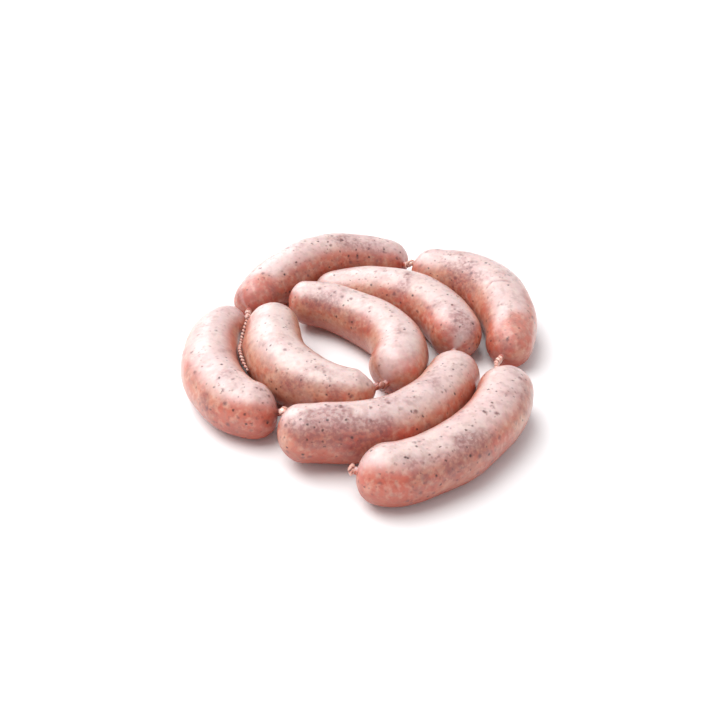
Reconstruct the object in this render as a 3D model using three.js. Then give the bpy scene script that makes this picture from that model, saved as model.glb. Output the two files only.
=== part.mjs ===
// A string of eight raw sausage links, laid in a loose coil on a flat surface.
// Millimetres, +Z up. The origin is on the surface, under the middle of the coil.
// The front link is at -Y.
// Each link is filled casing that bends along its own route and draws in to a thin neck at both ends.
// Between two links the empty casing is twisted into a short rope. The string starts in a small knot
// and ends in a long twisted tail, which lies in the groove between the left link and the inner left one.
// A real casing is one skin from end to end. Here each link and each twist is a solid of its own.
import * as THREE from "three";

// Form shared by all links
const RESTING_SINK = 0.8; // how far a soft link settles into the flat spot that it rests on
const NECK_RADIUS = 2.2; // gathered casing where a link ends
const NECK_LENGTH = 1.8; // from the end of the filling to the twist
const NECK_FLARE = 2.5; // how tightly the neck turns into the rounded end

// Twisted casing
const TWIST_GAP = 0.35; // between a neck's face and the twist that meets it
const TWIST_SWELL = 0.25; // how much a twist swells, narrows and swells again along its length
const FOLDS = 3; // folds of casing seen round a twist
const FOLD_PITCH = 8; // length of one turn of a fold
const FOLD_DEPTH = 0.14; // as a share of the radius
const KNOT_RADIUS = 3.5;
const KNOT_TIP_RADIUS = 1;
const TAIL_RADIUS = 1.25;
const TAIL_TIP_RADIUS = 0.85;
const TAIL_NECK_SWELL = 0.3; // how much thicker the tail is where it leaves its neck
const LOOSE_LEAD = 1.2; // how far the knot and the tail run straight out of their necks

// Mesh fineness
const LINK_SIDES = 20;
const LINK_RINGS = 27; // along the filling
const NECK_RINGS = 2;
const TWIST_SIDES = 10;
const TWIST_RINGS = 10;
const TAIL_RINGS = 56;
const ROUTE_STEPS = 280; // even, so that one stop is a link's middle

// The links' places are measured from a point inside the coil, and this is the middle of its outline.
const COIL_MIDDLE = new THREE.Vector3(2.8, 11.3, 0);

// The links in string order. middle is the middle of the link's route in plan, and headings are the
// directions in which the route runs, at even steps from its first end to its last, in degrees from +X.
// diameters and lifts are at the first end, the middle and the last end. A lift is a curl off the surface.
// bluntness is the exponent of each rounded end: 2 is a ball, more is blunter, and less is more pointed.
// firstTie and lastTie turn the two necks about the middle of their rounded ends: in plan, and upwards.
const LINKS = [
  {
    name: "link_1_front",
    middle: [58.5, -82],
    length: 134,
    headings: [-12, 25, 45, 61, 98],
    diameters: [34, 34.5, 33.5],
    lifts: [0.5, 0, 2.5],
    bluntness: [2.35, 2.35],
    firstTie: [-6, 0],
    lastTie: [2, 0],
  },
  {
    name: "link_2_right",
    middle: [90.8, 70],
    length: 135,
    headings: [67, 90, 116, 148, 178],
    diameters: [27, 40.5, 32],
    lifts: [1, 0, 2.5],
    bluntness: [2.1, 2.35],
    firstTie: [-10, 0],
    lastTie: [-30, 8],
  },
  {
    name: "link_3_back",
    middle: [-34, 117],
    length: 143,
    headings: [166, 184, 216, 230, 261],
    diameters: [27.5, 37.5, 27.5],
    lifts: [0, 0, 0],
    bluntness: [2.35, 2.35],
    firstTie: [-25, 9],
    lastTie: [0, 0],
  },
  {
    name: "link_4_left",
    middle: [-91.1, -12.9],
    length: 131.5,
    headings: [211, 264, 282, 313, 366],
    diameters: [26.5, 36, 33],
    lifts: [1.5, 0, 0.5],
    bluntness: [2.35, 2.35],
    firstTie: [4, 0],
    lastTie: [0, 0],
  },
  {
    name: "link_5_middle",
    middle: [23.5, -63.2],
    length: 144,
    headings: [21, 5, 35, 59, 76],
    diameters: [33, 35, 31.5],
    lifts: [5, 0, 0],
    bluntness: [2.1, 2.35],
    firstTie: [-65, 8],
    lastTie: [6, -10],
  },
  {
    name: "link_6_inner_back",
    middle: [33.5, 71],
    length: 136,
    headings: [94, 117, 144, 166, 206],
    diameters: [33, 36, 25.5],
    lifts: [0, 0, 0],
    bluntness: [2.35, 2.35],
    firstTie: [-17, -10],
    lastTie: [-14, 0],
  },
  {
    name: "link_7_inner_right",
    middle: [10.7, 36.2],
    length: 132,
    headings: [17, -26, -45, -85, -128],
    diameters: [28, 34.5, 35.8],
    lifts: [6.5, 0, 0],
    bluntness: [2.35, 2.5],
    firstTie: [-72, 0],
    lastTie: [0, -8],
  },
  {
    name: "link_8_inner_left",
    middle: [-44.5, -17],
    length: 123,
    headings: [195, 154, 128, 95, 109],
    diameters: [22.5, 39.5, 32.5],
    lifts: [12, 0, 5],
    bluntness: [1.55, 2.35],
    firstTie: [10, 0],
    lastTie: [41, 0],
  },
];

// How far each twist bows out of the straight line between its two necks, as a share of its span.
const TWIST_REACH = [0.35, 0.35, 0.35, 0.5, 0.35, 0.6, 0.5];

// The radius of each twist half-way. It has a neck's radius at both ends.
const TWIST_MIDDLES = [1.6, 2.2, 2, 2.3, 2, 2, 2.2];

// Where the tail runs after the last link: over the groove's edge, down into it, and along it to the front.
const TAIL_ROUTE = [
  [-73.3, 36.2, 21],
  [-73.9, 32, 21.2],
  [-74.7, 26, 20.2],
  [-75.4, 17, 19.2],
  [-75.2, 9, 19.9],
  [-74.6, 1, 22.9],
  [-73.1, -6, 23.6],
  [-70.7, -14, 23.2],
  [-67.2, -21.3, 22.3],
];

// Where the knot before the first neck runs, from the neck's face: straight out, and a little down.
const KNOT_ROUTE = [
  [-2.3, 0.5, 0],
  [-3.9, 0.8, -0.1],
];

// Colours of raw pork under wet casing, and of empty casing
const linkMaterial = new THREE.MeshStandardMaterial({ color: 0xe0ab9a, roughness: 0.36, metalness: 0 });
const casingMaterial = new THREE.MeshStandardMaterial({ color: 0xe6c2b2, roughness: 0.42, metalness: 0 });

const UP = new THREE.Vector3(0, 0, 1);
const radians = THREE.MathUtils.degToRad;
const clamp = THREE.MathUtils.clamp;

// A smooth value at t, from 0 to 1, through values at even steps: a Catmull-Rom curve.
function along(values, t) {
  const last = values.length - 1;
  const place = clamp(t, 0, 1) * last;
  const i = Math.min(Math.floor(place), last - 1);
  const f = place - i;
  const a = i > 0 ? values[i - 1] : 2 * values[0] - values[1];
  const b = values[i];
  const c = values[i + 1];
  const d = i + 2 <= last ? values[i + 2] : 2 * values[last] - values[last - 1];
  return b + 0.5 * f * (c - a + f * (2 * a - 5 * b + 4 * c - d + f * (3 * (b - c) + d - a)));
}

// The radius of a link's filling at t, leaving out its rounded ends.
const bodyRadius = (link, t) => along(link.diameters, t) / 2;

// How far into the nearest rounded end t is, from 0 at the tip to 1 where the body starts.
function endShare(link, t) {
  const endRadius = link.diameters[t < 0.5 ? 0 : 2] / 2;
  const fromTip = Math.max(Math.min(t, 1 - t), 0) * link.length;
  return Math.min(fromTip / endRadius, 1);
}

// The radius of a link at t: the filling with its superellipse ends, widening smoothly out of the necks.
function linkRadius(link, t) {
  const blunt = link.bluntness[t < 0.5 ? 0 : 1];
  const rounding = (1 - (1 - endShare(link, t)) ** blunt) ** (1 / blunt);
  const filling = bodyRadius(link, t) * rounding;
  return (filling ** NECK_FLARE + NECK_RADIUS ** NECK_FLARE) ** (1 / NECK_FLARE);
}

// Turns a rounded end's stops about its middle, more and more towards the tip, so that the neck leaves
// to one side while the end keeps its outline.
function turnEnd(link, stops, [turn, tilt]) {
  const middle = stops[0].position.clone();
  const outward = stops[stops.length - 1].position.clone().sub(middle).setZ(0).normalize();
  for (const stop of stops) {
    const share = 1 - (2 / Math.PI) * Math.acos(1 - endShare(link, stop.t));
    const inPlan = new THREE.Quaternion().setFromAxisAngle(UP, radians(turn) * share);
    const axis = outward.clone().applyQuaternion(inPlan).cross(UP);
    const rotation = new THREE.Quaternion().setFromAxisAngle(axis, radians(tilt) * share).multiply(inPlan);
    stop.position.sub(middle).applyQuaternion(rotation).add(middle);
    stop.tangent.applyQuaternion(rotation);
  }
}

// The middle line of a link, from neck to neck, as evenly spaced stops.
// s is the distance from the first tip of the filling, so it is negative in the first neck.
function linkRoute(link) {
  const step = (link.length + 2 * NECK_LENGTH) / ROUTE_STEPS;
  const stops = [];
  const point = new THREE.Vector3();
  for (let k = 0; k <= ROUTE_STEPS; k++) {
    const s = k * step - NECK_LENGTH;
    const t = s / link.length;
    const heading = radians(along(link.headings, t));
    const tangent = new THREE.Vector3(Math.cos(heading), Math.sin(heading), 0);
    if (k > 0) point.addScaledVector(tangent.clone().add(stops[k - 1].tangent).normalize(), step);
    const height = bodyRadius(link, t) + along(link.lifts, t) - RESTING_SINK;
    stops.push({ s, t, tangent, position: point.clone().setZ(height) });
  }
  const shift = new THREE.Vector3(...link.middle, 0).sub(stops[ROUTE_STEPS / 2].position).setZ(0);
  for (const stop of stops) stop.position.add(shift);
  const [firstRadius, , lastRadius] = link.diameters.map((diameter) => diameter / 2);
  turnEnd(link, stops.filter(({ s }) => s <= firstRadius).reverse(), link.firstTie);
  turnEnd(link, stops.filter(({ s }) => s >= link.length - lastRadius), link.lastTie);
  return stops;
}

// The distances of a link's rings from its first tip: even in the necks, and crowded towards the tips.
function ringPlaces(length) {
  const places = [];
  for (let k = NECK_RINGS; k > 0; k--) places.push((-NECK_LENGTH * k) / NECK_RINGS);
  for (let k = 0; k <= LINK_RINGS; k++) {
    const crowding = (1 - Math.cos((Math.PI * k) / LINK_RINGS)) / 2;
    places.push(length * crowding);
  }
  for (let k = 1; k <= NECK_RINGS; k++) places.push(length + (NECK_LENGTH * k) / NECK_RINGS);
  return places;
}

// A closed lathe about +Y, with a radius given at each place along it.
function lathe(places, radiusAt, sides) {
  const profile = places.map((s) => new THREE.Vector2(radiusAt(s), s));
  const start = new THREE.Vector2(0, places[0]);
  const end = new THREE.Vector2(0, places[places.length - 1]);
  return new THREE.LatheGeometry([start, ...profile, end], sides);
}

// Carries each point of a lathe onto a route: its Y becomes the distance along the route.
function bend(geometry, stationAt) {
  const position = geometry.getAttribute("position");
  for (let i = 0; i < position.count; i++) {
    const station = stationAt(position.getY(i));
    const right = station.tangent.clone().cross(UP).normalize();
    const above = right.clone().cross(station.tangent);
    const point = station.position.clone();
    point.addScaledVector(right, position.getX(i)).addScaledVector(above, position.getZ(i));
    position.setXYZ(i, point.x, point.y, Math.max(point.z, 0)); // the surface below flattens the link
  }
  return geometry;
}

function named(name, geometry, material) {
  const mesh = new THREE.Mesh(geometry, material);
  mesh.name = name;
  return mesh;
}

function makeLink(link) {
  const route = linkRoute(link);
  const stationAt = (s) => {
    const place = ((s + NECK_LENGTH) / (link.length + 2 * NECK_LENGTH)) * ROUTE_STEPS;
    const i = clamp(Math.floor(place), 0, ROUTE_STEPS - 1);
    return {
      position: route[i].position.clone().lerp(route[i + 1].position, place - i),
      tangent: route[i].tangent.clone().lerp(route[i + 1].tangent, place - i).normalize(),
    };
  };
  const blank = lathe(ringPlaces(link.length), (s) => linkRadius(link, s / link.length), LINK_SIDES);
  const mesh = named(link.name, bend(blank, stationAt), linkMaterial);
  return { mesh, first: route[0], last: route[ROUTE_STEPS] };
}

// A rope of twisted casing along a curve, with a radius given at each share of its length.
function makeRope(name, curve, rings, radiusAt) {
  const length = curve.getLength();
  const places = Array.from({ length: rings + 1 }, (_, k) => (length * k) / rings);
  const geometry = lathe(places, (s) => radiusAt(s / length), TWIST_SIDES);
  const position = geometry.getAttribute("position");
  for (let i = 0; i < position.count; i++) {
    const x = position.getX(i);
    const z = position.getZ(i);
    const turn = Math.atan2(z, x) + (2 * Math.PI * position.getY(i)) / FOLD_PITCH;
    const fold = 1 + FOLD_DEPTH * Math.cos(FOLDS * turn);
    position.setX(i, x * fold);
    position.setZ(i, z * fold);
  }
  const stationAt = (s) => {
    const share = clamp(s / length, 0, 1);
    return { position: curve.getPointAt(share), tangent: curve.getTangentAt(share) };
  };
  return named(name, bend(geometry, stationAt), casingMaterial);
}

// A point straight out from a neck's face: past a last neck (+1) or before a first neck (-1).
const outOf = (neck, way, distance) => neck.position.clone().addScaledVector(neck.tangent, way * distance);

// The curve from one link's last neck to the next link's first neck. It leaves and meets them straight.
function twistCurve(from, to, reach) {
  const start = outOf(from, 1, TWIST_GAP);
  const end = outOf(to, -1, TWIST_GAP);
  const handle = reach * start.distanceTo(end);
  const leaving = start.clone().addScaledVector(from.tangent, handle);
  const arriving = end.clone().addScaledVector(to.tangent, -handle);
  return new THREE.CubicBezierCurve3(start, leaving, arriving, end);
}

const string = new THREE.Group();
const links = LINKS.map(makeLink);
for (const { mesh } of links) string.add(mesh);

// From a neck's radius to the middle's and back, with a swell, a narrowing and a swell on top.
function twistRadius(middle, share) {
  const change = (middle - NECK_RADIUS) * Math.sin(Math.PI * share);
  return NECK_RADIUS + change + TWIST_SWELL * Math.sin(3 * Math.PI * share);
}

for (let k = 0; k + 1 < links.length; k++) {
  const curve = twistCurve(links[k].last, links[k + 1].first, TWIST_REACH[k]);
  const radiusAt = (share) => twistRadius(TWIST_MIDDLES[k], share);
  string.add(makeRope(`twist_${k + 1}_${k + 2}`, curve, TWIST_RINGS, radiusAt));
}

// Loose casing that leaves a neck straight, and then follows a route of its own.
function looseCurve(neck, way, route) {
  const start = outOf(neck, way, TWIST_GAP);
  return new THREE.CatmullRomCurve3([start, outOf(neck, way, TWIST_GAP + LOOSE_LEAD), ...route]);
}

// The knot starts the string: the first neck's casing, gathered into a bulb with a drawn-in tip.
const knotNeck = links[0].first;
const knotRoute = KNOT_ROUTE.map((offset) => new THREE.Vector3(...offset).add(knotNeck.position));
const knotRadius = (share) => {
  const bulb = (KNOT_RADIUS - NECK_RADIUS) * Math.sin(Math.PI * share);
  return NECK_RADIUS + bulb - (NECK_RADIUS - KNOT_TIP_RADIUS) * share ** 6;
};
string.add(makeRope("end_knot", looseCurve(knotNeck, -1, knotRoute), TWIST_RINGS, knotRadius));

// The tail ends it, and thins to a cord as it leaves the last neck.
const tailRoute = TAIL_ROUTE.map((point) => new THREE.Vector3(...point));
const tailRadius = (share) => {
  const neckSwell = TAIL_NECK_SWELL * Math.exp(-30 * share);
  return TAIL_RADIUS + neckSwell - (TAIL_RADIUS - TAIL_TIP_RADIUS) * share ** 12;
};
const tailNeck = links[links.length - 1].last;
string.add(makeRope("casing_tail", looseCurve(tailNeck, 1, tailRoute), TAIL_RINGS, tailRadius));

string.position.copy(COIL_MIDDLE).negate();

export default string;
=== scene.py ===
"""A string of eight raw pork sausage links, laid in a loose coil on a pale floor.

Every link, twist, knot and tail is a fine surface that takes the place of its plain solid. A surface is
worked out in millimetres, as whole arrays, and is written to its mesh in metres.
"""

import bpy
import numpy as np
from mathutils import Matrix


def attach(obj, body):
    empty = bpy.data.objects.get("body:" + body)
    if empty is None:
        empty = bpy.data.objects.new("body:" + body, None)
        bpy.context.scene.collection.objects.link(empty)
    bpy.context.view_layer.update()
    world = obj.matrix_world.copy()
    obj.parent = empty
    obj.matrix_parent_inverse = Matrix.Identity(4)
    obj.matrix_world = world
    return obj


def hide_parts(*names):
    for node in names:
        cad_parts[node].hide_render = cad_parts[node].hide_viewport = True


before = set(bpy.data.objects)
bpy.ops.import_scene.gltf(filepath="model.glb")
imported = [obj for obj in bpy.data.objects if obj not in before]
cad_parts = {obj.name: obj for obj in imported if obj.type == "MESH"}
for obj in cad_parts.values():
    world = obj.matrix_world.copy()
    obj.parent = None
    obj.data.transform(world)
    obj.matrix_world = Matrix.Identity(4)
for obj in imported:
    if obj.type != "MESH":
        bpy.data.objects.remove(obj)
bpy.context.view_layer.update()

MM = 0.001
UP = np.array([0.0, 0.0, 1.0])

# Camera: the point inside the coil that it looks at, its distance from there, its angle above the floor, its
# lens and sensor, and the nearest distance that it sees
CAMERA_AIM = (-2.8, -11.3, 15.0)
CAMERA_DISTANCE = 571.0
CAMERA_ELEVATION = 35.5
CAMERA_LENS = 45.8
SENSOR_WIDTH = 36.0
NEAREST_SEEN = 10.0

# Form shared by all links, as the plain solids have it. The routes are measured from a point inside the
# coil, and COIL_MIDDLE is the middle of its outline.
COIL_MIDDLE = np.array([2.8, 11.3, 0.0])
RESTING_SINK = 0.8
NECK_RADIUS = 2.2
NECK_LENGTH = 1.8
NECK_FLARE = 2.5
ROUTE_STEPS = 280

# Fineness of the links' surfaces and of the curves of empty casing
NECK_RINGS = 8
LINK_RINGS = 360
LINK_SIDES = 160
ARCH_STEPS = 200
CURVE_STEPS = 40

# Lumps and grain of the meat, which fade out where a link is thinner than FILLED_RADII
SWELL_WAVES = 22
LUMP_SIZE = 17.0
LUMP_HEIGHT = 0.3
GRAIN_SIZE = 6.0
GRAIN_HEIGHT = 0.08
FILLED_RADII = (3, 12)

# Casing gathered towards the necks. The depth is also held to a share of the radius, and the least depth is
# that of a neck whose puckers are 0, as a share of the whole.
PUCKER_DEPTH = 0.75
PUCKER_SHARE = 0.24
PUCKER_LEAST = 0.35
PUCKER_REACH = 4.5
PUCKER_FOLDS = 9
PUCKER_SPIRAL = 0.11

# Where two links press on each other: how far from a route another link is looked for, the gaps between which
# a link stops swelling towards the other, the gap left between them, and the gaps between which painted shade
# fades out from a contact
NEIGHBOUR_MARGIN = 24
CONTACT_REACH = (0.72, 1.8)
CONTACT_GAP = 0.12
CONTACT_SHADE_REACH = (0.2, 2.8)

# A coloured spot's half-length, and its half-width in radians round the link
SPOT_LENGTH = 15.0
SPOT_TURN = 0.6

# Single creases, and the furrows inside a bend. Both are broken up by patches. Furrows set in between the two
# values of FURROW_SQUEEZE, and their lines wander by a share of a turn.
CREASE_WIDTH = 0.9
CREASE_DEPTH = 0.45
CREASE_PATCH_SIZE = 6.0
CREASE_PATCHES = (-1.2, 0.6)
FURROW_PITCH = 2.3
FURROW_DEPTH = 0.16
FURROW_SQUEEZE = (0.22, 0.6)
FURROW_PATCH_SIZE = 9.0
FURROW_PATCHES = (-0.3, 0.9)
FURROW_WANDER = 1.6
FURROW_WANDER_SIZE = 5.0

# Twisted casing. The plain solids keep a gap between a neck's face and its rope of casing, and the overlap
# carries the rope on into the neck, so that no gap shows. A cap is how long a rope's rounded end is, as a
# share of its radius.
TWIST_GAP = 0.35
TWIST_SWELL = 0.25
TWIST_OVERLAP = 1.3
LOOSE_LEAD = 1.2
KNOT_RADIUS = 3.5
KNOT_TIP_RADIUS = 1.0
KNOT_TIP_POWER = 6
TAIL_RADIUS = 1.25
TAIL_TIP_RADIUS = 0.85
TAIL_TIP_POWER = 12
TAIL_NECK_SWELL = 0.3
TAIL_NECK_FALL = 30
ROPE_CAP = 0.8
ROPE_RUFFLE = 0.05
ROPE_RUFFLE_SIZE = 1.3

# How each kind of casing is laid: the fineness of its surface, its folds, the length of one turn of a fold,
# the depth of its creases as a share of the radius, and the length of a bead
TWIST_LAY = dict(rings=110, sides=60, folds=2, pitch=8.0, depth=0.3)
KNOT_LAY = dict(rings=110, sides=60, folds=2, pitch=13.0, depth=0.3)
TAIL_LAY = dict(rings=620, sides=28, folds=1, pitch=3.6, depth=0.42, bead=3.2)
TWIST_SEED = 200
KNOT_SEED = 301
TAIL_SEED = 302

# The links in string order. middle is the middle of the link's route in plan, and headings are the directions
# in which the route runs, at even steps from its first end to its last. diameters and lifts are at the first
# end, the middle and the last end. bluntness is the exponent of each rounded end: 2 is a ball, and less is
# more pointed. The ties turn the two necks, in plan and upwards. tone runs from pink (-1) to cream (1), and
# puckers says how strongly the casing gathers at each neck. bruises and blushes are purplish and reddish
# spots, and creases are lines. Each place is a share of the length and a side, in degrees from the top
# towards the right. A spot's third number is its strength, and one below 0 clears its surroundings.
LINKS = [
    dict(name="link_1_front", middle=(58.5, -82), length=134, headings=(-12, 25, 45, 61, 98),
         diameters=(34, 34.5, 33.5), lifts=(0.5, 0, 2.5), bluntness=(2.35, 2.35),
         first_tie=(-6, 0), last_tie=(2, 0), tone=-0.2, puckers=(0.5, 0.3),
         bruises=((0.38, 45, 1.0), (0.27, 85, 0.5)),
         blushes=((0.58, 75, 0.9), (0.08, 50, 1.2), (0.2, 100, 0.8))),
    dict(name="link_2_right", middle=(90.8, 70), length=135, headings=(67, 90, 116, 148, 178),
         diameters=(27, 40.5, 32), lifts=(1, 0, 2.5), bluntness=(2.1, 2.35),
         first_tie=(-10, 0), last_tie=(-30, 8), tone=0.1, puckers=(0.35, 0.5),
         bruises=((0.62, -45, 0.9), (0.74, -50, 0.8)),
         blushes=((0.02, 10, 2.6), (0.1, 10, 1.2), (0.05, -60, 1.4), (0.2, 70, 1.4), (0.35, 60, 1.0),
                  (0.5, -80, 0.6)),
         creases=(((0.386, -52), (0.404, -38), (0.421, -22), (0.404, -8), (0.386, 8)),
                  ((0.303, 31), (0.28, 29), (0.255, 31)))),
    dict(name="link_3_back", middle=(-34, 117), length=143, headings=(166, 184, 216, 230, 261),
         diameters=(27.5, 37.5, 27.5), lifts=(0, 0, 0), bluntness=(2.35, 2.35),
         first_tie=(-25, 9), last_tie=(0, 0), tone=-0.4, puckers=(0.5, 0.4),
         bruises=((0.37, -22, 0.8), (0.2, -40, 0.4)),
         blushes=((0.99, -10, 2.6), (0.93, -8, 1.4), (0.9, -60, 1.2), (0.02, -45, 1.0), (0.4, -75, 0.8))),
    dict(name="link_4_left", middle=(-91.1, -12.9), length=131.5, headings=(211, 264, 282, 313, 366),
         diameters=(26.5, 36, 33), lifts=(1.5, 0, 0.5), bluntness=(2.35, 2.35),
         first_tie=(4, 0), last_tie=(0, 0), tone=-0.3, puckers=(0.5, 1.0),
         bruises=((0.8, 68, 0.5), (0.86, 0, 0.4)),
         blushes=((0.97, 60, 1.5), (0.9, 105, 1.2), (0.83, 50, 0.4), (0.6, 20, 0.7))),
    dict(name="link_5_middle", middle=(23.5, -63.2), length=144, headings=(21, 5, 35, 59, 76),
         diameters=(33, 35, 31.5), lifts=(5, 0, 0), bluntness=(2.1, 2.35),
         first_tie=(-65, 8), last_tie=(6, -10), tone=0.0, puckers=(0.4, 0.4),
         bruises=((0.14, 30, 1.2), (0.22, 50, 1.5), (0.3, 70, 0.9), (0.38, 52, 0.5)),
         blushes=((0.42, 75, 0.9), (0.17, 25, 0.7), (0.2, 100, 0.6))),
    dict(name="link_6_inner_back", middle=(33.5, 71), length=136, headings=(94, 117, 144, 166, 206),
         diameters=(33, 36, 25.5), lifts=(0, 0, 0), bluntness=(2.35, 2.35),
         first_tie=(-17, -10), last_tie=(-14, 0), tone=0.2, puckers=(0.15, 0.5),
         bruises=((0.49, -45, 0.8), (0.04, 0, 0.6)),
         blushes=((0.02, -30, 1.3), (0.01, 60, 1.0), (0.2, -80, 0.6))),
    dict(name="link_7_inner_right", middle=(10.7, 36.2), length=132, headings=(17, -26, -45, -85, -128),
         diameters=(28, 34.5, 35.8), lifts=(6.5, 0, 0), bluntness=(2.35, 2.5),
         first_tie=(-72, 0), last_tie=(0, -8), tone=0.2, puckers=(0.8, 0.4),
         bruises=((0.2, 45, 1.0), (0.4, 60, 0.4), (0.96, -30, -1.5)),
         blushes=((0.0, 50, 1.0), (0.98, -30, 0.9))),
    dict(name="link_8_inner_left", middle=(-44.5, -17), length=123, headings=(195, 154, 128, 95, 109),
         diameters=(22.5, 39.5, 32.5), lifts=(12, 0, 5), bluntness=(1.55, 2.35),
         first_tie=(10, 0), last_tie=(41, 0), tone=0.9, puckers=(1.0, 0.4),
         bruises=((0.29, -60, 0.6), (0.15, -30, 0.3)),
         blushes=((0.13, -75, 0.6),)),
]

# How far each twist bows out of the straight line between its two necks, as a share of its span
TWIST_REACH = (0.35, 0.35, 0.35, 0.5, 0.35, 0.6, 0.5)

# The radius of each twist half-way
TWIST_MIDDLES = (1.6, 2.2, 2.0, 2.3, 2.0, 2.0, 2.2)

# How much painted shade darkens the empty casing, for each twist, the knot and the tail
TWIST_PAINTED_SHADES = (0.1, 0.1, 0.3, 0.0, 0.6, 0.6, 0.85)
KNOT_PAINTED_SHADE = 0.15
TAIL_PAINTED_SHADE = 0.3

# Where the tail runs after the last link: over the groove's edge, down into it, and along it to the front
TAIL_ROUTE = [
    (-73.3, 36.2, 21), (-73.9, 32, 21.2), (-74.7, 26, 20.2), (-75.4, 17, 19.2), (-75.2, 9, 19.9),
    (-74.6, 1, 22.9), (-73.1, -6, 23.6), (-70.7, -14, 23.2), (-67.2, -21.3, 22.3),
]

# Where the knot before the first neck runs, from the neck's face: straight out, and a little down
KNOT_ROUTE = [(-2.3, 0.5, 0), (-3.9, 0.8, -0.1)]

# Colours of the pork, as seen on a screen, 0 to 255
ROSY_LEAN = (190, 110, 88)
PALE_LEAN = (202, 144, 118)
RUDDY_LEAN = (194, 82, 62)
CREAM_FAT = (214, 176, 154)
RED_LEAN = (172, 78, 60)
# The next colour is a painted highlight, laid on the tops
PAINTED_TOP_HIGHLIGHT = (226, 216, 216)
GREY_MEAT = (154, 122, 112)
PURPLE_MEAT = (136, 74, 74)
# painted shade under each link
PAINTED_UNDERSIDE_SHADE = (158, 58, 30)
# painted shade where links press together
PAINTED_CONTACT_SHADE = (104, 38, 24)
NECK = (186, 76, 58)
# painted shade in the neck folds
NECK_FOLD_SHADE = (118, 46, 34)
# painted shade in creases and furrows
FURROW_SHADE = (150, 92, 90)

# Colours of the empty casing
PINK_CASING = (226, 172, 156)
CREAM_CASING = (240, 212, 198)
# The next colour is painted shade, for casing that lies in a link's shade
CASING_PAINTED_SHADE = (150, 84, 68)
# The next two colours are painted shade in the casing's folds, pink and then dark brown
CASING_FOLD_SHADE = (170, 84, 68)
DEEP_FOLD_SHADE = (72, 32, 24)

# Blots, dots and specks of herb, in the middles of cells, where a fine noise and broad patches let them
# through. cells is their size and seed, noise is its size, detail and seed, and middles, passed and patches
# are the two limits between which each of the three sets in.
HERBS = [
    dict(cells=(6.2, 17), middles=(0.34, 0.06), noise=(4.0, 1, 19), passed=(0.38, 0.58), patches=(0.36, 0.58),
         share=0.8, shown=(108, 60, 60)),
    dict(cells=(3.3, 23), middles=(0.36, 0.06), noise=(2.6, 0, 57), passed=(0.44, 0.58), patches=(0.30, 0.60),
         share=0.55, shown=(124, 72, 66)),
    dict(cells=(4.4, 31), middles=(0.28, 0.08), noise=(3.0, 0, 37), passed=(0.46, 0.58), patches=(0.36, 0.56),
         share=0.95, shown=(70, 34, 30)),
]

# How far noise shakes the places of the herbs' cells, and how fine that noise is
SHAKE = 1.1
SHAKE_SCALE = 0.9

# The floor, in metres
FLOOR_REACH = 4.0
FLOOR_DROP = 0.0002

# The studio: places and sizes in metres, and powers in watts
LIGHTS = [
    dict(name="overhead", place=(-0.8, -0.1, 2.05), size=1.7, power=40, tint=(1.0, 0.99, 0.99)),
    dict(name="back", place=(-1.1, 1.5, 1.35), size=1.8, power=28, tint=(1.0, 0.98, 1.0)),
]
SURROUNDINGS_TINT = (0.98, 0.98, 1.0, 1)
SURROUNDINGS_STRENGTH = 0.63


def add_camera():
    """The camera stands at the aim plus the distance along the direction (0, -cos, sin) of the elevation."""
    elevation = np.radians(CAMERA_ELEVATION)
    away = CAMERA_DISTANCE * np.array([0, -np.cos(elevation), np.sin(elevation)])
    camera = bpy.data.objects.new("camera", bpy.data.cameras.new("camera"))
    camera.data.lens = CAMERA_LENS
    camera.data.sensor_width = SENSOR_WIDTH
    camera.data.clip_start = NEAREST_SEEN * MM
    camera.location = (np.array(CAMERA_AIM) + away) * MM
    camera.rotation_euler = (np.radians(90 - CAMERA_ELEVATION), 0, 0)
    bpy.context.scene.collection.objects.link(camera)
    bpy.context.scene.camera = camera


add_camera()


def unit(vectors):
    """Each vector over its own length."""
    return vectors / np.linalg.norm(vectors, axis=-1, keepdims=True)


def along(values, t):
    """A smooth value at t through values at even steps: a cubic whose slope at each value is half the
    difference of its two neighbours, with the row of values carried on straight past both ends."""
    values = np.asarray(values, float)
    row = np.concatenate([[2 * values[0] - values[1]], values, [2 * values[-1] - values[-2]]])
    place = np.clip(t, 0, 1) * (len(values) - 1)
    i = np.minimum(place.astype(int), len(values) - 2)
    f = place - i
    a, b, c, d = row[i], row[i + 1], row[i + 2], row[i + 3]
    return b + 0.5 * f * (c - a + f * (2 * a - 5 * b + 4 * c - d + f * (3 * (b - c) + d - a)))


def ease(values, low, high):
    """0 below low and 1 above high, with the cubic 3x^2 - 2x^3 between them."""
    x = np.clip((values - low) / (high - low), 0, 1)
    return x * x * (3 - 2 * x)


def swells(points, size, seed):
    """A soft random relief of about -1 to 1 with lumps of a given size: a sum of cosine waves through space,
    each with a seeded direction, phase and a wavelength near twice the size."""
    random = np.random.default_rng(seed)
    directions = unit(random.normal(size=(SWELL_WAVES, 3)))
    numbers = directions * (np.pi / size * random.uniform(0.7, 1.4, (SWELL_WAVES, 1)))
    phases = random.uniform(0, 2 * np.pi, SWELL_WAVES)
    return np.cos(points @ numbers.T + phases).sum(-1) * np.sqrt(1 / SWELL_WAVES)


def crease(angle):
    """A row of sharp creases between round folds: 1 at each full turn of the angle, and 0 half-way."""
    return 1 - np.abs(np.sin(angle / 2)) ** 0.75


def turn_about(vectors, axes, angles):
    """Each row turned about its axis: v cos + (axis x v) sin + axis (axis . v)(1 - cos)."""
    c = np.cos(angles)[:, None]
    s = np.sin(angles)[:, None]
    kept = axes * (axes * vectors).sum(-1, keepdims=True)
    return vectors * c + np.cross(axes, vectors) * s + kept * (1 - c)


def body_radius(link, t):
    """The filling's radius, without its rounded ends: a smooth curve through half the three diameters."""
    return along(link["diameters"], t) / 2


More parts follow.
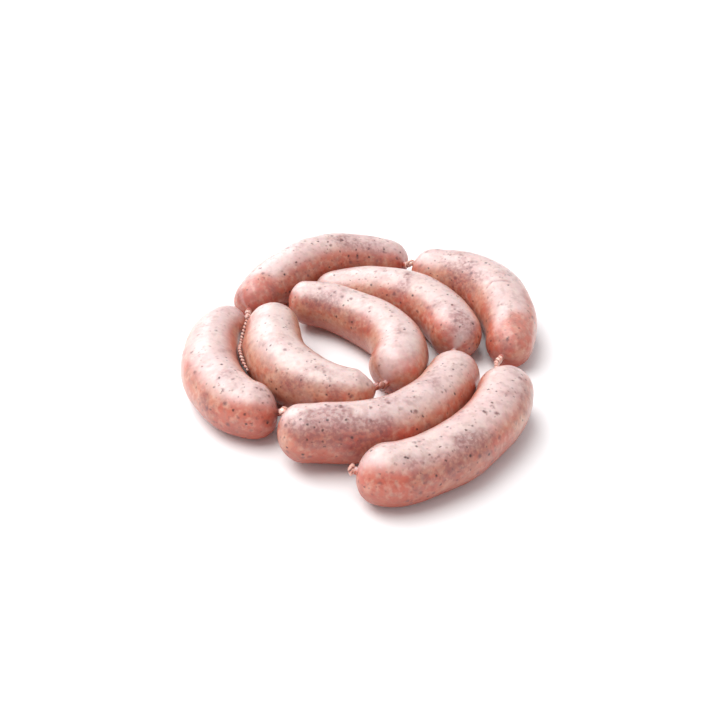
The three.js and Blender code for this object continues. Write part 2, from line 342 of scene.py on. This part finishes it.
def end_share(link, t):
    """How far into the nearest rounded end t is, from 0 at the tip to 1 where the body starts."""
    first, _, last = link["diameters"]
    end_radius = np.where(t < 0.5, first, last) / 2
    from_tip = np.maximum(np.minimum(t, 1 - t), 0) * link["length"]
    return np.minimum(from_tip / end_radius, 1)


def link_radius(link, t):
    """The filling with superellipse ends, (1 - (1 - share)^n)^(1/n), joined to the neck by a power mean."""
    blunt = np.where(t < 0.5, *link["bluntness"])
    rounding = (1 - (1 - end_share(link, t)) ** blunt) ** (1 / blunt)
    filling = body_radius(link, t) * rounding
    return (filling ** NECK_FLARE + NECK_RADIUS ** NECK_FLARE) ** (1 / NECK_FLARE)


def turn_end(link, t, points, tangents, chosen, tie):
    """Turns the chosen stops, listed from the body outwards, about the first of them: by the tie's angle in
    plan, then by its tilt. Each is times a share that grows as an arc cosine from the body to the tip."""
    share = 1 - 2 / np.pi * np.arccos(1 - end_share(link, t[chosen]))
    centre = points[chosen[0]].copy()
    outward = (points[chosen[-1]] - centre) * (1, 1, 0)
    outward = np.tile(unit(outward), (len(chosen), 1))
    up = np.tile(UP, (len(chosen), 1))
    turn, tilt = np.radians(tie[0]) * share, np.radians(tie[1]) * share
    axes = np.cross(turn_about(outward, up, turn), UP)
    arms = turn_about(turn_about(points[chosen] - centre, up, turn), axes, tilt)
    points[chosen] = centre + arms
    tangents[chosen] = turn_about(turn_about(tangents[chosen], up, turn), axes, tilt)


def link_route(link):
    """The middle line from neck to neck, as even stops: each step follows the mean of two headings, and the
    height is the radius plus the lift, less the sink. Both rounded ends are then turned by their ties."""
    length = link["length"]
    step = (length + 2 * NECK_LENGTH) / ROUTE_STEPS
    s = np.arange(ROUTE_STEPS + 1) * step - NECK_LENGTH
    t = s / length
    heading = np.radians(along(link["headings"], t))
    tangents = np.stack([np.cos(heading), np.sin(heading), np.zeros_like(heading)], -1)
    steps = unit(tangents[1:] + tangents[:-1]) * step
    points = np.concatenate([np.zeros((1, 3)), np.cumsum(steps, 0)])
    points[:, :2] += np.array(link["middle"]) - points[ROUTE_STEPS // 2, :2]
    points[:, 2] = body_radius(link, t) + along(link["lifts"], t) - RESTING_SINK
    first_radius, _, last_radius = np.array(link["diameters"]) / 2
    turn_end(link, t, points, tangents, np.flatnonzero(s <= first_radius)[::-1], link["first_tie"])
    turn_end(link, t, points, tangents, np.flatnonzero(s >= length - last_radius), link["last_tie"])
    return dict(s=s, points=points - COIL_MIDDLE, tangents=tangents, radius=link_radius(link, t))


def rings_along(s, points, tangents, wanted, sides):
    """Rings at the wanted distances: the middle of each, the directions out of it, and their angles. The
    route is read straight between its stops. Right is the tangent crossed with the vertical, and above is
    right crossed with the tangent. A direction is right by its angle's sine plus above by the cosine."""
    middle = np.stack([np.interp(wanted, s, points[:, k]) for k in range(3)], -1)
    tangent = unit(np.stack([np.interp(wanted, s, tangents[:, k]) for k in range(3)], -1))
    right = unit(np.cross(tangent, UP))
    above = np.cross(right, tangent)
    angle = np.arange(sides) * 2 * np.pi / sides
    outward = right[:, None] * np.sin(angle)[None, :, None] + above[:, None] * np.cos(angle)[None, :, None]
    return middle[:, None], outward, angle


def gap_to(points, other):
    """How far each point is outside another link: its distance to the nearest of every second stop of the
    route, less the radius there."""
    stops = other["points"][::2].astype(np.float32)
    radius = other["radius"][::2]
    offsets = points.astype(np.float32)[:, None, :] - stops[None]
    squares = (offsets * offsets).sum(-1)
    nearest = squares.argmin(1)
    return np.sqrt(squares[np.arange(len(points)), nearest]) - radius[nearest]


def press_together(points, outward, proud, neighbours):
    """Two soft links that touch share one face: a point is moved along outward until its height over its own
    link is no more than its gap to the other, and where the gap is small the link swells into half of it.
    Returns how much painted contact shade each point takes: 1 at a contact, and 0 where no other link is
    near."""
    contact_shade = np.zeros(len(points))
    for other in neighbours:
        low = other["points"].min(0) - NEIGHBOUR_MARGIN
        high = other["points"].max(0) + NEIGHBOUR_MARGIN
        near = np.flatnonzero(((points > low) & (points < high)).all(-1))
        gap = gap_to(points[near], other)
        closing = 0.5 * (gap - proud[near] - CONTACT_GAP)
        fade = 1 - ease(gap - proud[near], *CONTACT_REACH)
        move = np.where(closing < 0, closing, closing * fade)
        points[near] += outward[near] * move[:, None]
        proud[near] += move
        contact_shade[near] = np.maximum(contact_shade[near], 1 - ease(gap - proud[near], *CONTACT_SHADE_REACH))
    return contact_shade


def turned_from(angle, side):
    """Each angle less a side given in degrees, as radians from -pi to pi."""
    return np.angle(np.exp(1j * (angle[None] - np.radians(side))))


def spots(link, kind, t, angle):
    """A sum of soft spots, each its strength times e to the power of minus the squared distance."""
    total = np.zeros((len(t), len(angle)))
    for share, side, strength in link[kind]:
        along_link = (t[:, None] - share) * link["length"] / SPOT_LENGTH
        across = turned_from(angle, side) / SPOT_TURN
        total += strength * np.exp(-along_link ** 2 - across ** 2)
    return total


def crease_lines(link, t, angle, radius):
    """1 along each of the link's creases, and e to the power of minus the squared distance beside them. The
    distance is to a polyline on the unrolled surface: along the link, and round it by the radius."""
    nearest = np.full((len(t), len(angle)), np.inf)
    for line in link.get("creases", ()):
        for (share_a, side_a), (share_b, side_b) in zip(line, line[1:]):
            along_link = (t[:, None] - share_a) * link["length"]
            across = turned_from(angle, side_a) * radius
            place = np.stack(np.broadcast_arrays(along_link, across), -1)
            turned = np.radians(side_b - side_a) * radius.max()
            reach = np.array([(share_b - share_a) * link["length"], turned])
            part = np.clip((place @ reach) / (reach @ reach), 0, 1)
            nearest = np.minimum(nearest, np.linalg.norm(place - part[..., None] * reach, axis=-1))
    return np.exp(-(nearest / CREASE_WIDTH) ** 2)


def elbow_furrows(route, s, angle, rest, radius, seed):
    """Fine furrows across the inner side of a bend, where the casing is squeezed: the turn of the route in
    radians a millimetre, times the radius and the cosine of the angle to the inner side, says how much."""
    heading = np.unwrap(np.arctan2(route["tangents"][:, 1], route["tangents"][:, 0]))
    bend = np.interp(s, route["s"], np.gradient(heading, route["s"]))[:, None]
    squeeze = ease(-bend * radius * np.sin(angle)[None], *FURROW_SQUEEZE)
    patches = ease(swells(rest, FURROW_PATCH_SIZE, seed), *FURROW_PATCHES)
    wander = FURROW_WANDER * swells(rest, FURROW_WANDER_SIZE, seed + 7)
    return crease(2 * np.pi * s[:, None] / FURROW_PITCH + wander) * squeeze * patches


def gathered_folds(length, s, angle, seed):
    """Folds round each neck, of two finenesses and with a slight spiral, which fade out as a falling
    exponential of the distance from the tip. Returns the folds, and how gathered the casing is."""
    from_tip = np.minimum(s, length - s)[:, None]
    phase = np.random.default_rng(seed).uniform(0, 2 * np.pi, 4)
    warped = angle + 0.22 * np.sin(2 * angle + phase[0]) + 0.1 * np.sin(5 * angle + phase[1])
    spiral = warped[None] + PUCKER_SPIRAL * from_tip + np.where(s < length / 2, phase[2], phase[3])[:, None]
    gathered = np.exp(-np.maximum(from_tip, 0) / PUCKER_REACH)
    fine = np.exp(-np.maximum(from_tip, 0) / (0.5 * PUCKER_REACH))
    broad_folds = 0.7 * crease(PUCKER_FOLDS * spiral) * gathered
    fine_folds = 0.3 * crease(2 * PUCKER_FOLDS * spiral + 1) * fine
    return broad_folds + fine_folds, gathered


def ring_distances(length):
    """The rings' distances from a link's first tip: even in the necks, and (1 - cosine) / 2 between them."""
    body = length * (1 - np.cos(np.linspace(0, np.pi, LINK_RINGS))) / 2
    neck = np.linspace(NECK_LENGTH, 0, NECK_RINGS, endpoint=False)
    return np.concatenate([-neck, body, length + neck[::-1]])


def link_surface(link, route, neighbours, seed):
    """Rings along the route: the link's radius, plus soft lumps and a finer grain of meat, less folds,
    creases and furrows. The floor flattens it, and so do the links beside it."""
    length = link["length"]
    s = ring_distances(length)
    middle, outward, angle = rings_along(route["s"], route["points"], route["tangents"], s, LINK_SIDES)
    radius = link_radius(link, s / length)[:, None]
    rest = middle + outward * radius[..., None]

    lumps = swells(rest, LUMP_SIZE, seed) * LUMP_HEIGHT + swells(rest, GRAIN_SIZE, seed + 50) * GRAIN_HEIGHT
    filled = ease(radius, *FILLED_RADII)
    folds, gathered = gathered_folds(length, s, angle, seed + 100)
    strength = np.where(s < length / 2, *link["puckers"])[:, None]
    depth = np.minimum(PUCKER_SHARE * radius, PUCKER_DEPTH) * (PUCKER_LEAST + (1 - PUCKER_LEAST) * strength)
    furrows = elbow_furrows(route, s, angle, rest, radius, seed + 200)
    unbroken = ease(swells(rest, CREASE_PATCH_SIZE, seed + 300), *CREASE_PATCHES)
    lines = crease_lines(link, s / length, angle, radius) * unbroken
    proud = lumps * filled - folds * depth - lines * CREASE_DEPTH - furrows * FURROW_DEPTH

    points = (rest + outward * proud[..., None]).reshape(-1, 3)
    contact_shade = press_together(points, outward.reshape(-1, 3), proud.reshape(-1), neighbours)
    points[:, 2] = np.maximum(points[:, 2], 0)
    marks = dict(
        # a painted highlight on the tops
        top_highlight=ease(outward[..., 2], 0.5, 1.0),
        # how far a point faces down: painted shade under the link, and a thinner coat
        underside=ease(-outward[..., 2], -0.35, 0.7),
        # the depth of the neck folds, which the finish darkens as painted shade
        crease=folds * strength,
        gathered=gathered * strength * np.ones_like(folds),
        # creases and furrows, which the finish darkens as painted shade
        furrow=np.maximum(lines, 0.6 * furrows),
        # painted shade where the link meets another
        contact_shade=contact_shade.reshape(folds.shape),
        tone=np.full(folds.shape, link["tone"]),
        bruise=spots(link, "bruises", s / length, angle),
        blush=spots(link, "blushes", s / length, angle),
    )
    return points.reshape(rest.shape), marks


def curve_stops(points):
    """Distances along a polyline, its points and their tangents, by central differences."""
    lengths = np.linalg.norm(np.diff(points, axis=0), axis=1)
    s = np.concatenate([[0], np.cumsum(lengths)])
    return s, points, unit(np.gradient(points, s, axis=0))


def smooth_curve(points):
    """Stops on a smooth curve through the points: a cubic between each two, whose parameter grows with the
    square root of the distance."""
    points = np.asarray(points, float)
    row = np.concatenate([[2 * points[0] - points[1]], points, [2 * points[-1] - points[-2]]])
    f = np.linspace(0, 1, CURVE_STEPS, endpoint=False)[:, None]
    pieces = []
    for a, b, c, d in zip(row, row[1:], row[2:], row[3:]):
        before, here, after = (np.sqrt(np.linalg.norm(q - p)) for p, q in ((a, b), (b, c), (c, d)))
        leave = ((b - a) / before - (c - a) / (before + here) + (c - b) / here) * here
        arrive = ((c - b) / here - (d - b) / (here + after) + (d - c) / after) * here
        pieces.append(b + f * leave + f ** 2 * (3 * (c - b) - 2 * leave - arrive)
                      + f ** 3 * (2 * (b - c) + leave + arrive))
    return curve_stops(np.concatenate(pieces + [points[-1:]]))


def arch(start, leaving, arriving, end):
    """Stops on the cubic curve from start towards leaving, and from arriving to end: the four points weigh by
    (1 - f)^3, 3f(1 - f)^2, 3f^2(1 - f) and f^3."""
    f = np.linspace(0, 1, ARCH_STEPS)[:, None]
    return curve_stops((1 - f) ** 3 * start + 3 * f * (1 - f) ** 2 * leaving
                       + 3 * f ** 2 * (1 - f) * arriving + f ** 3 * end)


def carry_on(curve, before, after):
    """The curve with a straight stop added before its start and one after its end."""
    s, points, tangents = curve
    first = points[0] - tangents[0] * before
    last = points[-1] + tangents[-1] * after
    s = np.concatenate([[-before], s, [s[-1] + after]])
    tangents = np.concatenate([tangents[:1], tangents, tangents[-1:]])
    return s, np.concatenate([[first], points, [last]]), tangents


def rope_surface(curve, past_end, radius_at, seed, casing_shade, rings, sides, folds, pitch, depth, bead=None):
    """Rings along the curve, which is carried on into the neck before it and past its end: the radius, less
    sharp creases that wind round it, plus a fine ruffle. A bead length makes those creases faint, and parts
    the rope into round beads by waists that follow a cosine. Both ends draw in as quarter circles."""
    length = curve[0][-1]
    s, points, tangents = carry_on(curve, TWIST_OVERLAP, past_end)
    wanted = np.linspace(s[0], s[-1], rings)
    radius = radius_at(np.clip(wanted / length, 0, 1))
    cap = ROPE_CAP * radius
    first = np.sqrt(1 - np.clip(1 - (wanted - s[0]) / cap, 0, 1) ** 2)
    last = np.sqrt(1 - np.clip(1 - (s[-1] - wanted) / cap, 0, 1) ** 2)
    radius = (radius * np.minimum(first, last))[:, None]
    middle, outward, angle = rings_along(s, points, tangents, wanted, sides)
    wound = angle[None] + 2 * np.pi * wanted[:, None] / pitch
    winding = crease(folds * wound + 0.5 * np.sin(wound))
    if bead:
        passed = 2 * np.pi * wanted[:, None] / bead + 0.9 * np.sin(angle)[None]
        winding = np.maximum(0.3 * winding, 0.5 + 0.5 * np.cos(passed))
    rest = middle + outward * radius[..., None]
    scale = 1 - depth * winding + ROPE_RUFFLE * swells(rest, ROPE_RUFFLE_SIZE, seed)
    # crease is the depth of the winding folds, which the finish darkens as painted shade; the other mark is
    # the casing's painted shade
    marks = dict(crease=winding, casing_shade=np.full(winding.shape, casing_shade))
    return middle + outward * (radius * scale)[..., None], marks


def grid_faces(rings, sides):
    """The corners of all faces in one row, and how many each has: four-sided faces between rings, and a fan
    to a pole at each end. The two poles are the last points."""
    ring = np.arange(rings - 1)[:, None] * sides
    side = np.arange(sides)[None]
    after = (side + 1) % sides
    corners = [ring + side, ring + sides + side, ring + sides + after, ring + after]
    quads = np.stack(corners, -1).reshape(-1, 4)
    side, after = side[0], after[0]
    top = (rings - 1) * sides
    first_fan = np.stack([np.full(sides, rings * sides), side, after], -1)
    last_fan = np.stack([np.full(sides, rings * sides + 1), top + after, top + side], -1)
    totals = np.concatenate([np.full(len(quads), 4), np.full(2 * sides, 3)])
    return np.concatenate([quads.ravel(), first_fan.ravel(), last_fan.ravel()]), totals


def make_piece(name, surface, marks, material, replaced):
    """A closed mesh from a grid of rings, with a pole in the middle of each end ring. Each of the marks
    becomes an attribute of the points."""
    rings, sides, _ = surface.shape
    poles = np.stack([surface[0].mean(0), surface[-1].mean(0)])
    points = np.concatenate([surface.reshape(-1, 3), poles]) * MM
    corners, totals = grid_faces(rings, sides)
    starts = np.concatenate([[0], np.cumsum(totals)[:-1]])

    mesh = bpy.data.meshes.new(name)
    mesh.vertices.add(len(points))
    mesh.vertices.foreach_set("co", points.astype(np.float32).ravel())
    mesh.loops.add(len(corners))
    mesh.loops.foreach_set("vertex_index", corners.astype(np.int32))
    mesh.polygons.add(len(totals))
    mesh.polygons.foreach_set("loop_start", starts.astype(np.int32))
    mesh.polygons.foreach_set("loop_total", totals.astype(np.int32))
    mesh.polygons.foreach_set("use_smooth", np.ones(len(totals), bool))
    mesh.update(calc_edges=True)
    for mark, values in marks.items():
        ends = [values[0].mean(), values[-1].mean()]
        attribute = mesh.attributes.new(mark, "FLOAT", "POINT")
        attribute.data.foreach_set("value", np.concatenate([values.ravel(), ends]).astype(np.float32))
    mesh.materials.append(material)
    piece = bpy.data.objects.new(name, mesh)
    bpy.context.scene.collection.objects.link(piece)
    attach(piece, "root")
    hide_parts(replaced)


class Term:
    """A shader socket that Python's operators work on. Each operator adds one Math node to its finish."""

    def __init__(self, finish, socket):
        self.finish = finish
        self.socket = socket

    def __add__(self, other):
        return self.finish.maths("ADD", self, other)

    def __radd__(self, other):
        return self.finish.maths("ADD", other, self)

    def __sub__(self, other):
        return self.finish.maths("SUBTRACT", self, other)

    def __rsub__(self, other):
        return self.finish.maths("SUBTRACT", other, self)

    def __mul__(self, other):
        return self.finish.maths("MULTIPLY", self, other)

    def __rmul__(self, other):
        return self.finish.maths("MULTIPLY", other, self)


class Finish:
    """One material and the nodes that colour it."""

    def __init__(self, name):
        self.material = bpy.data.materials.new(name)
        self.material.use_nodes = True
        self.tree = self.material.node_tree
        self.tree.nodes.clear()
        place = self.node("ShaderNodeTexCoord", output="Object")
        self.place = self.node("ShaderNodeVectorMath", dict(operation="SCALE"), {0: place, "Scale": 1 / MM})

    def node(self, kind, settings=None, inputs=None, output=0):
        """Adds a node: its settings first, then the values or links of its sockets. Returns one output."""
        node = self.tree.nodes.new(kind)
        for key, value in (settings or {}).items():
            setattr(node, key, value)
        for key, value in (inputs or {}).items():
            if isinstance(value, Term):
                self.tree.links.new(value.socket, node.inputs[key])
            else:
                node.inputs[key].default_value = value
        return Term(self, node.outputs[output])

    def maths(self, operation, a, b):
        """A Math node on two values."""
        return self.node("ShaderNodeMath", dict(operation=operation), {0: a, 1: b})

    def mark(self, name):
        """A value that was written on the mesh."""
        return self.node("ShaderNodeAttribute", dict(attribute_name=name), output="Fac")

    def offset(self, vector):
        """The place moved by a fixed vector, so that two patterns of one kind differ."""
        return self.node("ShaderNodeVectorMath", dict(operation="ADD"), {0: self.place, 1: vector})

    def clouds(self, size, detail, seed=0.0):
        """Soft noise of about 0.5, with patches of a given size in millimetres."""
        inputs = {"Vector": self.offset((seed, seed, seed)), "Scale": 1 / size, "Detail": detail}
        return self.node("ShaderNodeTexNoise", {}, inputs)

    def cells(self, size, seed):
        """The distance to the middle of the nearest cell, with cells of a given size, whose places are shaken
        by noise so that no speck is round."""
        inputs = {"Vector": self.offset((seed, 0, 0)), "Scale": SHAKE_SCALE}
        wobble = self.node("ShaderNodeTexNoise", {}, inputs, "Color")
        bent = self.node("ShaderNodeVectorMath", dict(operation="MULTIPLY_ADD"),
                         {0: wobble, 1: (SHAKE, SHAKE, SHAKE), 2: self.offset((0, seed, 0))})
        return self.node("ShaderNodeTexVoronoi", {}, {"Vector": bent, "Scale": 1 / size}, "Distance")

    def step(self, value, low, high):
        """0 below low and 1 above high, smooth between them. It falls instead when low is the larger."""
        if low > high:
            return 1 - self.step(value, high, low)
        return self.node("ShaderNodeMapRange", dict(interpolation_type="SMOOTHSTEP"),
                         {"Value": value, "From Min": low, "From Max": high})

    def between(self, share, a, b):
        """The colour at a share of the way from a to b."""
        settings = dict(data_type="RGBA", clamp_factor=True)
        return self.node("ShaderNodeMix", settings, {0: share, 6: a, 7: b}, 2)

    def bump(self, height, distance):
        """The normal of a relief whose height of 1 stands for a distance in millimetres."""
        inputs = {"Strength": 1.0, "Distance": distance * MM, "Height": height}
        return self.node("ShaderNodeBump", {}, inputs)

    def surface(self, inputs):
        """Ends the finish with one shader, whose fixed values are set on its own sockets."""
        shader = self.node("ShaderNodeBsdfPrincipled", {}, inputs)
        end = self.tree.nodes.new("ShaderNodeOutputMaterial")
        self.tree.links.new(shader.socket, end.inputs["Surface"])
        return self.material


def colour(shown):
    """A colour as seen on a screen, 0 to 255, turned into the linear values that shaders use."""
    shown = np.array(shown) / 255
    linear = np.where(shown <= 0.04045, shown / 12.92, ((shown + 0.055) / 1.055) ** 2.4)
    return (*linear.tolist(), 1.0)


def meat(f):
    """Soft pink lean with reddish patches, grains of cream fat and of red lean, a painted pale lilac
    highlight on the top that a blush lowers, grey patches, and purplish ones broken up into granules."""
    tone = f.mark("tone")
    blush = f.mark("blush")
    broad = f.step(f.clouds(21, 2, 3) + 0.1 * tone, 0.36, 0.64)
    flesh = f.between(broad, colour(ROSY_LEAN), colour(PALE_LEAN))
    ruddy = f.step(f.clouds(11, 4, 29) - 0.04 * tone + 0.28 * blush, 0.46, 0.80)
    flesh = f.between(ruddy * 0.7, flesh, colour(RUDDY_LEAN))
    fat = f.step(f.clouds(3.6, 5, 11) + 0.04 * tone, 0.42, 0.70)
    flesh = f.between(fat * 0.5, flesh, colour(CREAM_FAT))
    lean = f.step(f.clouds(3.0, 5, 43), 0.46, 0.72)
    flesh = f.between(lean * 0.55, flesh, colour(RED_LEAN))
    # Painted highlight: the tops are mixed towards a pale lilac sheen, by less where a blush is
    pale = 0.62 - 0.5 * f.step(blush, 0.4, 1.6)
    flesh = f.between(f.mark("top_highlight") * pale, flesh, colour(PAINTED_TOP_HIGHLIGHT))
    grey = f.step(f.clouds(4.6, 4, 67), 0.48, 0.68)
    flesh = f.between(grey * 0.3, flesh, colour(GREY_MEAT))
    purple = f.step(f.clouds(16, 2, 47) + 0.36 * f.mark("bruise"), 0.52, 0.82)
    granules = f.step(f.clouds(2.2, 3, 53), 0.38, 0.62)
    return f.between(purple * (0.3 + 0.4 * granules), flesh, colour(PURPLE_MEAT))


def shaded(f, flesh):
    """The flesh with red necks, and with painted shade: a red-brown underside, dark contacts, dark neck folds
    and dark furrows.
    """
    gathered = f.mark("gathered")
    # Painted shade: the underside darkened to red-brown
    flesh = f.between(f.mark("underside") * 0.9, flesh, colour(PAINTED_UNDERSIDE_SHADE))
    # Painted shade where links meet
    flesh = f.between(f.mark("contact_shade") * 0.65, flesh, colour(PAINTED_CONTACT_SHADE))
    flesh = f.between(gathered * 0.5, flesh, colour(NECK))
    # Painted shade in the neck folds
    folds = f.step(f.mark("crease") * gathered, 0.12, 0.6)
    flesh = f.between(folds * 0.7, flesh, colour(NECK_FOLD_SHADE))
    # Painted shade in the creases and furrows
    return f.between(f.mark("furrow") * 0.5, flesh, colour(FURROW_SHADE))


def with_herbs(f, flesh):
    """The flesh with soft dark blots, smaller faint dots and small dark specks."""
    patches = f.clouds(12, 2, 83) + 0.26 * f.mark("bruise")
    for herb in HERBS:
        middles = f.step(f.cells(*herb["cells"]), *herb["middles"])
        passed = f.step(f.clouds(*herb["noise"]), *herb["passed"])
        share = middles * passed * f.step(patches, *herb["patches"]) * herb["share"]
        flesh = f.between(share, flesh, colour(herb["shown"]))
    return flesh


def pork_in_casing():
    """Coarse raw pork seen through wet casing, which is less wet underneath."""
    f = Finish("pork_in_casing")
    relief = f.clouds(1.6, 3, 61) * 0.6 + f.clouds(5, 1, 71)
    return f.surface({
        "Base Color": with_herbs(f, shaded(f, meat(f))),
        "Roughness": 0.32 + 0.14 * f.clouds(3, 2, 91),
        "Normal": f.bump(relief, 0.2),
        "IOR": 1.45,
        "Subsurface Weight": 0.3,
        "Subsurface Radius": (1.0, 0.32, 0.2),
        "Subsurface Scale": 0.003,
        "Coat Weight": 0.85 - 0.75 * f.mark("underside"),
        "Coat Roughness": 0.3,
        "Coat IOR": 1.45,
    })


def twisted_casing():
    """Empty casing twisted up on itself: translucent cream ridges, darkened by painted shade where it lies in
    a link's shade, with pink and then dark brown painted shade in its creases.
    """
    f = Finish("twisted_casing")
    fold = f.mark("crease")
    skin = f.between(f.step(f.clouds(2.6, 2, 7), 0.42, 0.62), colour(PINK_CASING), colour(CREAM_CASING))
    # Painted shade: the casing darkened where it lies in a link's shade
    skin = f.between(f.mark("casing_shade"), skin, colour(CASING_PAINTED_SHADE))
    # Painted shade in the folds: pink in shallow ones and dark brown in the deepest
    skin = f.between(f.step(fold, 0.3, 0.75) * 0.85, skin, colour(CASING_FOLD_SHADE))
    skin = f.between(f.step(fold, 0.55, 0.95) * 0.9, skin, colour(DEEP_FOLD_SHADE))
    return f.surface({
        "Base Color": skin,
        "Roughness": 0.28 + 0.15 * f.clouds(1.5, 1, 5),
        "Normal": f.bump(f.clouds(0.7, 2, 13), 0.12),
        "IOR": 1.45,
        "Subsurface Weight": 0.2,
        "Subsurface Radius": (1.0, 0.45, 0.32),
        "Subsurface Scale": 0.001,
        "Coat Weight": 0.5,
        "Coat Roughness": 0.2,
        "Coat IOR": 1.45,
    })


def make_links(routes, material):
    """Each link, pressed by all the others."""
    for number, (link, route) in enumerate(zip(LINKS, routes)):
        neighbours = [other for other in routes if other is not route]
        surface, marks = link_surface(link, route, neighbours, seed=number + 1)
        make_piece(link["name"] + "_skin", surface, marks, material, link["name"])


def out_of(neck, way, distance):
    """A point straight out from a neck's face: past a last neck (1), or before a first neck (-1)."""
    point, tangent = neck
    return point + tangent * way * distance


def twist_radius(middle):
    """The radius of a twist at each share: from a neck's to the middle's as a half sine wave, plus a swell, a
    narrowing and a swell."""
    def radius(share):
        change = (middle - NECK_RADIUS) * np.sin(np.pi * share)
        return NECK_RADIUS + change + TWIST_SWELL * np.sin(3 * np.pi * share)
    return radius


def make_twists(first_necks, last_necks, material):
    """Each last neck joined to the next first neck by an arch that leaves and meets them straight."""
    for number, (leave, arrive) in enumerate(zip(last_necks, first_necks[1:])):
        start = out_of(leave, 1, TWIST_GAP)
        end = out_of(arrive, -1, TWIST_GAP)
        handle = TWIST_REACH[number] * np.linalg.norm(end - start)
        curve = arch(start, start + leave[1] * handle, end - arrive[1] * handle, end)
        surface, marks = rope_surface(curve, TWIST_OVERLAP, twist_radius(TWIST_MIDDLES[number]),
                                      TWIST_SEED + number, TWIST_PAINTED_SHADES[number], **TWIST_LAY)
        name = f"twist_{number + 1}_{number + 2}"
        make_piece(name + "_rope", surface, marks, material, name)


def loose_curve(neck, way, route):
    """Loose casing that leaves a neck straight, and then follows a route of its own."""
    lead = [out_of(neck, way, TWIST_GAP), out_of(neck, way, TWIST_GAP + LOOSE_LEAD)]
    return smooth_curve(lead + route)


def knot_radius(share):
    """A bulb as a half sine wave, with a tip drawn in by a power of the share."""
    bulb = (KNOT_RADIUS - NECK_RADIUS) * np.sin(np.pi * share)
    return NECK_RADIUS + bulb - (NECK_RADIUS - KNOT_TIP_RADIUS) * share ** KNOT_TIP_POWER


def tail_radius(share):
    """Thicker by a falling exponential where it leaves its neck, and drawn in at its tip by a power."""
    swell = TAIL_NECK_SWELL * np.exp(-TAIL_NECK_FALL * share)
    return TAIL_RADIUS + swell - (TAIL_RADIUS - TAIL_TIP_RADIUS) * share ** TAIL_TIP_POWER


def make_knot(neck, material):
    """The start of the string: the first neck's casing, gathered into a bulb."""
    curve = loose_curve(neck, -1, [neck[0] + np.array(offset) for offset in KNOT_ROUTE])
    surface, marks = rope_surface(curve, 0, knot_radius, KNOT_SEED, KNOT_PAINTED_SHADE, **KNOT_LAY)
    make_piece("end_knot_bead", surface, marks, material, "end_knot")


def make_tail(neck, material):
    """The end of the string: a cord of empty casing in the groove between two links."""
    curve = loose_curve(neck, 1, [np.array(point) - COIL_MIDDLE for point in TAIL_ROUTE])
    surface, marks = rope_surface(curve, 0, tail_radius, TAIL_SEED, TAIL_PAINTED_SHADE, **TAIL_LAY)
    make_piece("casing_tail_cord", surface, marks, material, "casing_tail")


def add_floor():
    """A plain pale floor, just under the flat strips that the links rest on."""
    corners = [(-FLOOR_REACH, -FLOOR_REACH), (FLOOR_REACH, -FLOOR_REACH),
               (FLOOR_REACH, FLOOR_REACH), (-FLOOR_REACH, FLOOR_REACH)]
    mesh = bpy.data.meshes.new("floor")
    mesh.from_pydata([(x, y, -FLOOR_DROP) for x, y in corners], [], [(0, 1, 2, 3)])
    f = Finish("pale_floor")
    shade = f.between(f.clouds(400, 1), colour((250, 250, 250)), colour((253, 253, 253)))
    mesh.materials.append(f.surface({"Base Color": shade, "Roughness": 0.7}))
    floor = bpy.data.objects.new("floor", mesh)
    bpy.context.scene.collection.objects.link(floor)


def add_light(name, place, size, power, tint):
    """A square soft light that faces the middle of the floor."""
    light = bpy.data.lights.new(name, "AREA")
    light.shape = "SQUARE"
    light.size = size
    light.energy = power
    light.color = tint
    lamp = bpy.data.objects.new(name, light)
    direction = -np.array(place)
    lamp.location = place
    lamp.rotation_euler = (np.arctan2(np.hypot(*direction[:2]), -direction[2]), 0,
                           np.arctan2(direction[1], direction[0]) - np.pi / 2)
    bpy.context.scene.collection.objects.link(lamp)


def add_studio():
    """A wide soft light overhead, a bright one low behind that the wet tops mirror, and pale surroundings."""
    for light in LIGHTS:
        add_light(**light)
    world = bpy.data.worlds.new("studio")
    world.use_nodes = True
    background = world.node_tree.nodes["Background"]
    background.inputs["Color"].default_value = SURROUNDINGS_TINT
    background.inputs["Strength"].default_value = SURROUNDINGS_STRENGTH
    bpy.context.scene.world = world
    bpy.context.scene.view_settings.view_transform = "Standard"


pork = pork_in_casing()
casing = twisted_casing()

routes = [link_route(link) for link in LINKS]
first_necks = [(route["points"][0], route["tangents"][0]) for route in routes]
last_necks = [(route["points"][-1], route["tangents"][-1]) for route in routes]

make_links(routes, pork)
make_twists(first_necks, last_necks, casing)
make_knot(first_necks[0], casing)
make_tail(last_necks[-1], casing)
add_floor()
add_studio()
